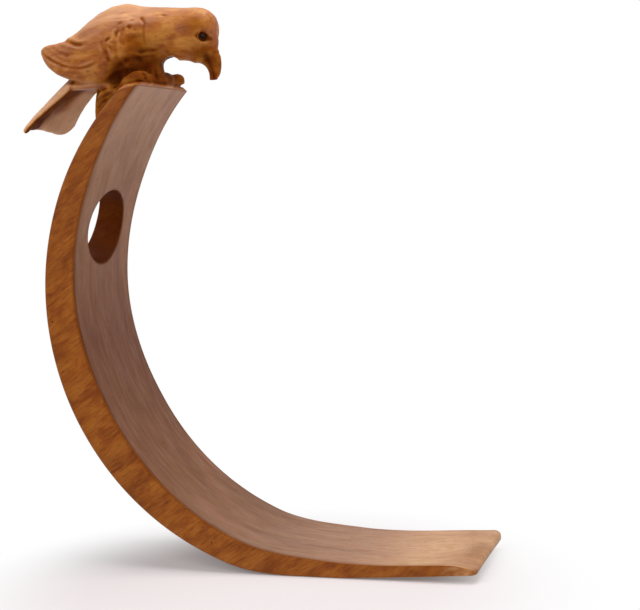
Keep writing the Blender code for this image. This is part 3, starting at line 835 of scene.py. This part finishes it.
def carve(points, normals):
    # cuts, chips and the eyes' hollows, with how dark wax and painted shade lie in each
    moved, dark = np.zeros((2, len(points)))
    eye = bird["eye"]
    for side in (-1, 1):
        flat = points[:, [0, 2]] - (np.array(bird["farSideShift"]) if side == 1 else 0.0)
        beside = side * points[:, 1]
        facing = ramp(side * normals[:, 1], -0.15, 0.25)
        for depth, width, ridge, wax, least, *stroke in bird["cuts"]:
            signed, along = strokeDistance(flat, stroke)
            fade = np.minimum(1.0, bird["cutRise"] * np.minimum(along, 1 - along) + bird["cutStart"]) * facing
            fade *= ramp(beside, least - 2, least)
            fade *= 1 - bird["cutWaver"] + bird["cutWaver"] * np.sin(along * 9.0 + depth * 20)
            moved -= depth * np.exp(-((signed / width) ** 2)) * fade
            moved += ridge * np.exp(-(((np.abs(signed) - 2.0 * width) / width) ** 2)) * fade
            dark = np.maximum(dark, wax * np.exp(-((signed / (0.9 * width)) ** 2)) * fade)
        for x, z, lean, length, depth in bird["chips"]:
            middle, reach = np.array([x, z]), np.array([cos(radians(lean)), sin(radians(lean))]) * length / 2
            signed, _ = strokeDistance(flat, (middle - reach, middle + reach))
            fade = facing * ramp(beside, 3, 5)
            cut = np.exp(-((signed / bird["chipWidth"]) ** 2))
            moved -= depth * cut * fade
            moved += 0.2 * depth * np.exp(-(((signed - 1.1) / 0.5) ** 2)) * fade
            dark = np.maximum(dark, min(0.7, 0.1 + 0.8 * depth) * cut * fade)
        # dark patches: partly wax, partly painted shade where the carving lies in shadow
        for x, z, reachX, reachZ, amount in bird["stainsAndShade"]:
            away = ((flat[:, 0] - x) / reachX) ** 2 + ((flat[:, 1] - z) / reachZ) ** 2
            dark = 1 - (1 - dark) * (1 - amount * np.exp(-away) * np.where(beside > 0, 1.0, 0.0))
        lean = radians(eye["tilt"])
        x, z = (flat - np.array(eye["place"])).T
        long = (x * cos(lean) + z * sin(lean)) / eye["halfLength"]
        high = (-x * sin(lean) + z * cos(lean)) / eye["halfHeight"]
        almond = np.abs(long) ** 1.8 + np.abs(high) ** 1.5
        inHead = facing * ramp(beside, 2.0, 4.0)
        moved -= eye["depth"] * ramp(almond, 1.15, 0.70) * inHead
        moved += eye["lid"] * np.exp(-(((almond - 1.6) / 0.45) ** 2)) * inHead
        dark = np.maximum(dark, eye["wax"] * ramp(almond, 1.20, 0.85) * inHead)
    return moved, dark


def clearOfBoard(points):
    # nothing of the carving reaches into the board; the points come back in metres
    gap, radius = bird["seatGap"] / 1000, board["bowRadius"]
    seat, middle = np.array(perch), np.array([bowCentre.x, bowCentre.z])
    world = points / 1000 + seat
    away = world[:, [0, 2]] - middle
    distance = np.linalg.norm(away, axis=1)
    angle = np.degrees(np.arctan2(away[:, 1], away[:, 0])) % 360
    inside = (angle > board["crestOuter"]) & (distance < radius + gap)
    world[:, [0, 2]] = middle + away * np.where(inside, (radius + gap) / distance, 1.0)[:, None]
    crest = np.array(bowCentre + radial(board["crestOuter"]) * radius)
    along = (seat - crest) / np.linalg.norm(seat - crest)
    up = np.array([-along[2], 0.0, along[0]])
    height, over = (world - seat) @ up, (world - crest) @ along
    low = (height < gap) & (over > 0.0) & (world[:, 0] < seat[0] + 0.0075) & (height > -0.006)
    return world + np.where(low, gap - height, 0.0)[:, None] * up


def makeBird(wood):
    mesh = blockedOutBird()
    edges = meshTable(mesh.edges, "vertices", 2, np.int32)
    setCoordinates(mesh, rubbed(edges, coordinates(mesh), 2))
    points, groove, tailShadeAndLight = scoopTail(coordinates(mesh), rubbed(edges, vertexNormals(mesh), 8))
    points = rubbed(edges, points, 2)
    setCoordinates(mesh, points)
    normals = vertexNormals(mesh)
    moved, dark = carve(points, normals)
    moved -= groove * bird["tail"]["barbDepth"]
    # the tail's painted shade and painted light join the cuts' darkness here
    dark = np.maximum(dark, np.maximum(bird["tail"]["barbWax"] * groove, tailShadeAndLight))
    for seed, (size, depth) in enumerate(bird["knifeMarks"]):
        moved += depth * noiseAt(points, (size * 1.3, size, size * 0.8), seed + 2.0)
    points = rubbed(edges, points + normals * moved[:, None], 1)
    setCoordinates(mesh, points)
    normals = vertexNormals(mesh)
    waxAndShade, filled = dark, []
    # hollows are darkened for the wax in them and as painted shade
    for amount, passes, depths in bird["hollowWaxAndShade"]:
        filled.append(dots(rubbed(edges, points, passes) - points, normals))
        waxAndShade = np.maximum(waxAndShade, amount * ramp(filled[-1], *depths))
    x, _, z = points.T
    # the up-facing top of the back is painted pale, a painted highlight
    paleWearAndLight = bird["backHighlight"] * ramp(normals[:, 2], *bird["backFacing"])
    paleWearAndLight *= 0.3 + 0.7 * ramp(x, *bird["backAlong"])
    paleWearAndLight *= ramp(z, *bird["backHeight"])
    # sharp edges are painted pale, partly for wear and partly as painted highlight
    edgeWearAndHighlight = bird["edgeWornAndLit"] * ramp(-filled[0], *bird["edgeTaken"])
    pale = np.maximum(np.maximum(edgeWearAndHighlight, paleWearAndLight), np.maximum(-tailShadeAndLight, 0.0))
    z[:] = np.where(x > bird["beakFrom"], np.maximum(z, bird["beakEnd"]), z)
    # these patches lift the painted shade and lay a painted pale light
    for middleX, middleZ, reachX, reachZ, amount in bird["bareAndLit"]:
        bare = amount * np.exp(-(((x - middleX) / reachX) ** 2) - ((z - middleZ) / reachZ) ** 2)
        waxAndShade *= 1 - bare
        pale = np.maximum(pale, 0.55 * bare)
    setCoordinates(mesh, np.clip(clearOfBoard(points), cadBox[0], cadBox[1]))
    return finishedPiece("birdCarving", mesh, wood, rubbed(edges, waxAndShade - pale * (1 - waxAndShade), 2))


def makeEye(name, node, polish):
    # a low polished bead in the hollow
    low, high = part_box(node)
    radius = (high.x - low.x) / 2 * bird["eye"]["beadSize"]
    size = Matrix.Diagonal((radius, radius * bird["eye"]["beadHeight"], radius, 1.0))
    place = Matrix.Translation((low + high) / 2) @ size
    cage = bmesh.new()
    bmesh.ops.create_icosphere(cage, subdivisions=4, radius=1.0, matrix=place)
    mesh = bpy.data.meshes.new(name)
    cage.to_mesh(mesh)
    cage.free()
    mesh.materials.append(polish)
    mesh.shade_smooth()
    return newObject(name, mesh)


# Finishes. Sizes of patterns are in mm: along the grain, across it, and out from the face.

boardWood = {
    # the broad faces from the crest to the toe: a painted pale sheen near the crest, painted shade in the
    # middle, then golden where the light falls, a painted light
    "drift": (
        (0.00, "#a97e62"), (0.16, "#8f6142"), (0.36, "#66330c"), (0.60, "#74451f"), (0.74, "#815739"),
        (0.87, "#9c7051"), (0.95, "#c3946a"), (1.00, "#bf9065"),
    ),
    "driftTurn": (-0.93, 2.09),  # the crest and the toe, in radians round the bow
    "sawn": ((0.32, "#854208"), (0.50, "#98520e"), (0.68, "#a8631b")),  # sawn edges, which take more wax
    "sawnFrom": (0.60, 0.85),  # how squarely sideways a face looks where they begin
    "grainTilt": 34.0,  # degrees that the fibres of the sawn edges rise towards the toe
    # pattern, its size on the broad faces and the sawn edges, detail, roughness and distortion of the noise;
    # the fibre is drawn twice as coarse as it is, so that it shows
    "patterns": (
        ("band", (90, 15, 60), (60, 40, 12), 1.0, 0.5, 0.6),
        ("figure", (50, 40, 20), (13, 30, 6.5), 2.0, 0.5, 0.5),
        ("fibre", (16, 2.6, 2.6), (4.4, 3.0, 0.62), 2.0, 0.55, 0.3),
        ("streak", (9e3, 9e3, 9e3), (8.0, 3.0, 1.05), 3.0, 0.62, 0.5),  # on the sawn edges alone
        ("tint", (70, 22, 60), (9e3, 9e3, 9e3), 1.0, 0.5, 0.8),  # on the broad faces alone
        ("pores", (4.5, 0.55, 0.60), (2.6, 1.2, 0.50), 1.0, 0.4, 0.0),
    ),
    # what is laid over the base: pattern, from, to, share, colour, how it is mixed
    "layers": (
        ("band", 0.46, 0.70, 0.42, "#c4ab98", "MULTIPLY"),
        ("tint", 0.50, 0.68, 0.20, "#a8715a", "MIX"),
        ("figure", 0.50, 0.72, 0.25, "#b98a66", "MULTIPLY"),
        ("streak", 0.50, 0.68, 0.44, "#a8683a", "MULTIPLY"),
        ("streak", 0.44, 0.28, 0.20, "#c98235", "MIX"),
        ("fibre", 0.50, 0.74, 0.17, "#a27a62", "MULTIPLY"),
        ("fibre", 0.44, 0.26, 0.04, "#d8a070", "MIX"),
        ("pores", 0.64, 0.73, 0.40, "#3a1a0b", "MIX"),
    ),
    "pit": 26.0,  # mm between rare pits, each under a mm across
    "rings": 0.0,
    # the dark of settled wax, also the colour of the painted shade
    "wax": "#451606",
    "paleWearAndLight": "#cf9a68",
    "gloss": (0.25, 0.02),  # where it is rubbed, and where it is dull
    "roughness": (0.37, 0.54),  # between the fibres and on them
    "bump": 0.00007,
}
birdWood = {
    "drift": ((0.0, "#a2622b"), (1.0, "#a2622b")),
    "driftTurn": (-0.93, 2.09),
    "sawn": ((0.33, "#964c0e"), (0.50, "#ac6119"), (0.66, "#c07c2e")),
    "sawnFrom": (-2.0, -1.0),  # everywhere
    "grainTilt": 6.0,
    "patterns": (
        ("band", (30, 9, 9), (30, 9, 9), 2.0, 0.5, 0.3),
        ("figure", (11, 8, 7), (11, 8, 7), 3.0, 0.5, 0.7),
        ("fibre", (4.5, 0.9, 1.1), (4.5, 0.9, 1.1), 3.0, 0.6, 0.3),
        ("pores", (1.6, 0.62, 0.62), (1.6, 0.62, 0.62), 1.0, 0.4, 0.0),
    ),
    "layers": (
        ("band", 0.48, 0.70, 0.35, "#b98a66", "MULTIPLY"),
        ("rings", 0.62, 1.00, 0.10, "#a87850", "MULTIPLY"),
        ("fibre", 0.50, 0.76, 0.24, "#a87a58", "MULTIPLY"),
        ("fibre", 0.44, 0.26, 0.10, "#dba668", "MIX"),
        ("pores", 0.66, 0.76, 0.50, "#4a2410", "MIX"),
    ),
    "pit": 14.0,
    "rings": 3.2,  # mm from one growth ring to the next
    # the dark of settled wax, also the colour of the painted shade
    "wax": "#481203",
    # the pale of wood rubbed bare, also laid on the carving as painted light on the back, edges and tail
    "paleWearAndLight": "#ecc09c",
    "gloss": (0.38, 0.02),
    "roughness": (0.37, 0.54),  # between the fibres and on them
    "bump": 0.00010,
}
bothWoods = {
    "heart": (0.0, -0.014, -0.225),  # middle of the growth rings, below and behind the carving
    "ringScale": 314.16,  # at scale 1 the texture's rings are so many mm apart
    "pitEdge": (0.055, 0.030),
    "pitColour": "#2c1207",
    "pitShare": (0.0, 0.85),
    "paleWearAndLightShare": (0.0, 0.92),
    "waxAndShadeShare": (0.0, 0.95),
    "dulledBy": (0.05, 0.45),  # so much wax, painted shade, wear or painted light takes all of the gloss
    "poreEdge": (0.64, 0.73),
    "dip": -1.2,  # how deep pores and pits are beside the fibres
}


def woodMaterial(name, look):
    # waxed tropical hardwood: a satin skin over soft bands, fibres and short dark pores, darker where wax has
    # settled and where shade is painted, paler where it is worn and where light is painted
    material, add, shader, place = newMaterial(name)
    straight = add("ShaderNodeMapping", {"Vector": place, "Rotation": (0.0, radians(look["grainTilt"]), 0.0)})
    # round the bow: the way along it, across it, and out from its centre
    centred = add("ShaderNodeVectorMath", {0: tuple(bowCentre), 1: place}, operation="SUBTRACT")
    parts = add("ShaderNodeSeparateXYZ", {0: centred}).outputs
    turn = add("ShaderNodeMath", {0: parts["Z"], 1: parts["X"]}, operation="ARCTAN2")
    arc = add("ShaderNodeMath", {0: turn, 1: board["bowRadius"]}, operation="MULTIPLY")
    level = add("ShaderNodeVectorMath", {0: centred, 1: (1.0, 0.0, 1.0)}, operation="MULTIPLY")
    out = add("ShaderNodeVectorMath", {0: level}, operation="LENGTH")
    bowed = add("ShaderNodeCombineXYZ", {"X": arc, "Y": parts["Y"], "Z": out})
    facing = add("ShaderNodeNewGeometry")
    normal = add("ShaderNodeSeparateXYZ", {0: facing.outputs["Normal"]})
    sideways = add("ShaderNodeMath", {0: normal.outputs["Y"]}, operation="ABSOLUTE")
    sawnEdge = add("ShaderNodeMapRange", {"Value": sideways, "From": look["sawnFrom"]})

    fields = {}
    for field, broadSize, sawnSize, detail, roughness, distortion in look["patterns"]:
        sized = [
            add("ShaderNodeVectorMath", {0: way, 1: tuple(1000 / s for s in size)}, operation="MULTIPLY")
            for way, size in ((bowed, broadSize), (straight, sawnSize))
        ]
        at = add("ShaderNodeMix", {"Factor": sawnEdge, "A": sized[0], "B": sized[1]}, data_type="VECTOR")
        grain = {"Scale": 1.0, "Detail": detail, "Roughness": roughness, "Distortion": distortion}
        fields[field] = add("ShaderNodeTexNoise", {"Vector": at, **grain})
    if look["rings"]:
        # growth rings show as loops on the carving's rounded forms
        heart = add("ShaderNodeMapping", {"Vector": straight, "Location": bothWoods["heart"]})
        wave = {
            "Vector": heart, "Scale": bothWoods["ringScale"] / look["rings"],
            "Distortion": 5.0, "Detail": 2.0, "Detail Scale": 0.6,
        }
        rings = add("ShaderNodeTexWave", wave, wave_type="RINGS", rings_direction="X")
        fields["rings"] = rings.outputs["Fac"]

    # on the board this ramp paints light and shade round the bow: a pale sheen near the crest, shade in the
    # middle and light on the foot
    along = add("ShaderNodeMapRange", {"Value": turn, "From": look["driftTurn"]})
    broad = add("ShaderNodeValToRGB", {"Fac": along}, look["drift"])
    sawn = add("ShaderNodeValToRGB", {"Fac": fields["figure"]}, look["sawn"])
    base = add("ShaderNodeMix", {"Factor": sawnEdge, "A": broad, "B": sawn}, data_type="RGBA")
    waxAndShade = add("ShaderNodeAttribute", attribute_name="waxShadeAndPale").outputs["Fac"]
    cell = add("ShaderNodeTexVoronoi", {"Vector": place, "Scale": 2500.0 / look["pit"]})
    pitted = {"Value": cell, "From": bothWoods["pitEdge"], "To": bothWoods["pitShare"]}
    pit = add("ShaderNodeMapRange", pitted)
    # paler where the wood is worn and where light is painted, darker where wax settles and where shade is
    # painted
    bare = add("ShaderNodeMapRange", {"Value": waxAndShade, "From": (0.0, -1.0), "To": bothWoods["paleWearAndLightShare"]})
    waxedAndShaded = add("ShaderNodeMapRange", {"Value": waxAndShade, "To": bothWoods["waxAndShadeShare"]})
    masks = []
    for field, low, high, share, colour, kind in look["layers"]:
        limits = {"Value": fields[field], "From": (low, high), "To": (0.0, share)}
        masks.append((add("ShaderNodeMapRange", limits), colour, kind))
    masks += [(pit, bothWoods["pitColour"], "MIX"), (bare, look["paleWearAndLight"], "MIX"), (waxedAndShaded, look["wax"], "MIX")]
    for mask, colour, kind in masks:
        laid = {"Factor": mask, "A": base, "B": linear(colour)}
        base = add("ShaderNodeMix", laid, data_type="RGBA", blend_type=kind)
    rough = {"Value": fields["fibre"], "From": (0.3, 0.7), "To": look["roughness"]}
    satin = add("ShaderNodeMapRange", rough)
    # only rubbed wood shines: where the attribute darkens it, with wax and painted shade, or pales it, with
    # wear and painted light, it is dull
    darkOrPale = add("ShaderNodeMath", {0: waxAndShade}, operation="ABSOLUTE")
    dull = add("ShaderNodeMapRange", {"Value": darkOrPale, "From": bothWoods["dulledBy"], "To": look["gloss"]})
    pore = add("ShaderNodeMapRange", {"Value": fields["pores"], "From": bothWoods["poreEdge"]})
    sunk = add("ShaderNodeMath", {0: pore, 1: pit}, operation="ADD")
    dips = {0: sunk, 1: bothWoods["dip"], 2: fields["fibre"]}
    relief = add("ShaderNodeMath", dips, operation="MULTIPLY_ADD")
    bump = add("ShaderNodeBump", {"Height": relief, "Distance": look["bump"], "Strength": 0.8})
    setInputs(shader, {
        "Base Color": base, "Roughness": satin, "Specular IOR Level": dull, "Normal": bump, "IOR": 1.45,
    })
    return material


def beadMaterial():
    # polished dark resin: nearly black, with a small hard highlight
    material, add, shader, place = newMaterial("polishedBead")
    cloud = add("ShaderNodeTexNoise", {"Vector": place, "Scale": 900.0, "Detail": 2.0})
    depths = {"Factor": cloud, "A": linear("#160b07"), "B": linear("#2e170d")}
    depth = add("ShaderNodeMix", depths, data_type="RGBA")
    setInputs(shader, {"Base Color": depth, "Roughness": 0.32, "IOR": 1.4})
    return material


def beechMaterial():
    # bare beech rod: pale, with short brown flecks along the pin, which leans at 45 degrees
    material, add, shader, place = newMaterial("bareBeech")
    turned = {"Vector": place, "Rotation": (0.0, radians(-45), 0.0), "Scale": (300, 1400, 1400)}
    sized = add("ShaderNodeMapping", turned)
    fleck = add("ShaderNodeTexNoise", {"Vector": sized, "Scale": 1.0, "Detail": 2.0})
    flecked = {"Factor": fleck, "A": linear("#d9b98a"), "B": linear("#b48a5a")}
    setInputs(shader, {"Base Color": add("ShaderNodeMix", flecked, data_type="RGBA"), "Roughness": 0.65})
    return material


# The stage: white floor and surroundings, soft lamps, and the camera

studio = {
    "floorReach": 3.0,
    "floorColour": "#e0d7d8",  # to the viewer, so that with its light it shows nearly white
    "bounce": "#e8e6e5",  # as it lights the object
    "shadowMiddle": (0.014, -0.055, 0.0),
    "whiteBetween": (0.070, 0.165),  # so far off it the floor fades to the white background
    "whiteShare": (0.15, 1.0),  # and part of it is white everywhere, as under light from all round
    "surroundings": 0.36,
    # what satin wood mirrors, dim on the viewer's side and bright behind: where it changes, and how bright
    "floorMirror": ((-0.30, 0.15), (0.05, 0.95)),
    "skyMirror": ((-0.55, 0.25), (0.05, 1.0)),
    "lamps": (
        ("overhead", (0.24, 0.02, 1.15), 8.6, 0.8),
        ("front", (-0.50, -0.80, 0.85), 5.6, 0.7),
        ("right", (1.05, -0.10, 0.50), 2.6, 0.7),
    ),
}
view = {
    "place": (0.2319, -0.6478, 0.1927),
    "aim": (0.0329, 0.0, 0.1298),
    "roll": -2.5,
    "lens": 76.6,
    "sensor": 36.0,
}


def makeFloor():
    reach = studio["floorReach"]
    corners = [(-reach, -reach, 0), (reach, -reach, 0), (reach, reach, 0), (-reach, reach, 0)]
    floor = newObject("floor", newMesh("floor", corners, [(0, 1, 2, 3)]))
    material, add, shader, place = newMaterial("whiteTable")
    nodes = material.node_tree.nodes
    nodes.remove(shader)
    rays = add("ShaderNodeLightPath").outputs
    colours = {"A": linear(studio["bounce"]), "B": linear(studio["floorColour"])}
    colour = add("ShaderNodeMix", {"Factor": rays["Is Camera Ray"], **colours}, data_type="RGBA")
    near = add("ShaderNodeBsdfDiffuse", {"Color": colour})
    # further off it is pure white to the viewer
    offset = add("ShaderNodeVectorMath", {0: place, 1: studio["shadowMiddle"]}, operation="SUBTRACT")
    away = add("ShaderNodeVectorMath", {0: offset}, operation="LENGTH")
    fade = {"Value": away, "From": studio["whiteBetween"], "To": studio["whiteShare"]}
    far = add("ShaderNodeMapRange", fade, interpolation_type="SMOOTHSTEP")
    farSeen = add("ShaderNodeMath", {0: far, 1: rays["Is Camera Ray"]}, operation="MULTIPLY")
    white = add("ShaderNodeEmission", {"Strength": 1.0})
    table = add("ShaderNodeMixShader", {0: farSeen, 1: near, 2: white})
    # glossy surfaces see it bright only behind the object
    depth = add("ShaderNodeSeparateXYZ", {0: place}).outputs["Y"]
    where, bright = studio["floorMirror"]
    mirror = {"Value": depth, "From": where, "To": bright}
    mirrored = add("ShaderNodeEmission", {"Strength": add("ShaderNodeMapRange", mirror)})
    whole = add("ShaderNodeMixShader", {0: rays["Is Glossy Ray"], 1: table, 2: mirrored})
    setInputs(nodes["Material Output"], {"Surface": whole})
    floor.data.materials.append(material)


def makeSurroundings():
    # white behind and around the object, dim in the mirror direction of the side that faces the viewer
    world = bpy.data.worlds.new("studio")
    bpy.context.scene.world = world
    world.use_nodes = True
    world.node_tree.nodes.clear()
    add = partial(addNode, world.node_tree)
    rays = add("ShaderNodeLightPath").outputs
    place = add("ShaderNodeTexCoord").outputs["Generated"]
    depth = add("ShaderNodeSeparateXYZ", {0: place}).outputs["Y"]
    where, bright = studio["skyMirror"]
    mirror = {"Value": depth, "From": where, "To": bright}
    behind = add("ShaderNodeMapRange", mirror, interpolation_type="SMOOTHSTEP")
    kinds = {0: rays["Is Camera Ray"], 1: rays["Is Transmission Ray"]}
    seen = add("ShaderNodeMath", kinds, operation="MAXIMUM")
    lit = {"Factor": rays["Is Glossy Ray"], "A": studio["surroundings"], "B": behind}
    soft = add("ShaderNodeMix", lit, data_type="FLOAT")
    strength = add("ShaderNodeMix", {"Factor": seen, "A": soft, "B": 1.0}, data_type="FLOAT")
    light = add("ShaderNodeBackground", {"Color": (1.0, 1.0, 1.0, 1.0), "Strength": strength})
    add("ShaderNodeOutputWorld", {"Surface": light})


def turnTo(item, roll=0.0):
    # the item looks at what the camera aims at
    aim = (Vector(view["aim"]) - item.location).to_track_quat("-Z", "Y").to_matrix().to_4x4()
    item.rotation_euler = (aim @ Matrix.Rotation(radians(roll), 4, "Z")).to_euler()


def addLamp(name, place, power, size):
    lamp = newObject(name, bpy.data.lights.new(name, "AREA"))
    lamp.data.energy, lamp.data.size, lamp.location = power, size, place
    turnTo(lamp)


def makeCamera():
    camera = newObject("camera", bpy.data.cameras.new("camera"))
    camera.data.lens, camera.data.sensor_width, camera.location = view["lens"], view["sensor"], view["place"]
    turnTo(camera, view["roll"])
    bpy.context.scene.camera = camera


boardFinish = woodMaterial("waxedBoard", boardWood)
birdFinish = woodMaterial("waxedCarving", birdWood)
beadFinish = beadMaterial()
beechFinish = beechMaterial()

curvedStand = makeBoard(boardFinish)
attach(curvedStand, "root")
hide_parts("curved_stand")
print("board bent and bored:", len(curvedStand.data.polygons), "faces")

birdCarving = makeBird(birdFinish)
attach(birdCarving, "root")
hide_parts("bird_carving")
print("bird carved:", len(birdCarving.data.polygons), "faces")

for eyeName, eyeNode in (("eyeLeft", "eye_left"), ("eyeRight", "eye_right")):
    eye = makeEye(eyeName, eyeNode, beadFinish)
    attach(eye, "root")
    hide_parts(eyeNode)
print("eyes set")

for dowelNode in ("dowel_left", "dowel_right"):
    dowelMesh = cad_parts[dowelNode].data
    dowelMesh.materials.clear()
    dowelMesh.materials.append(beechFinish)

makeFloor()
makeSurroundings()
for lamp in studio["lamps"]:
    addLamp(*lamp)
makeCamera()
bpy.context.scene.view_settings.view_transform = "Standard"
print("stage and camera set")
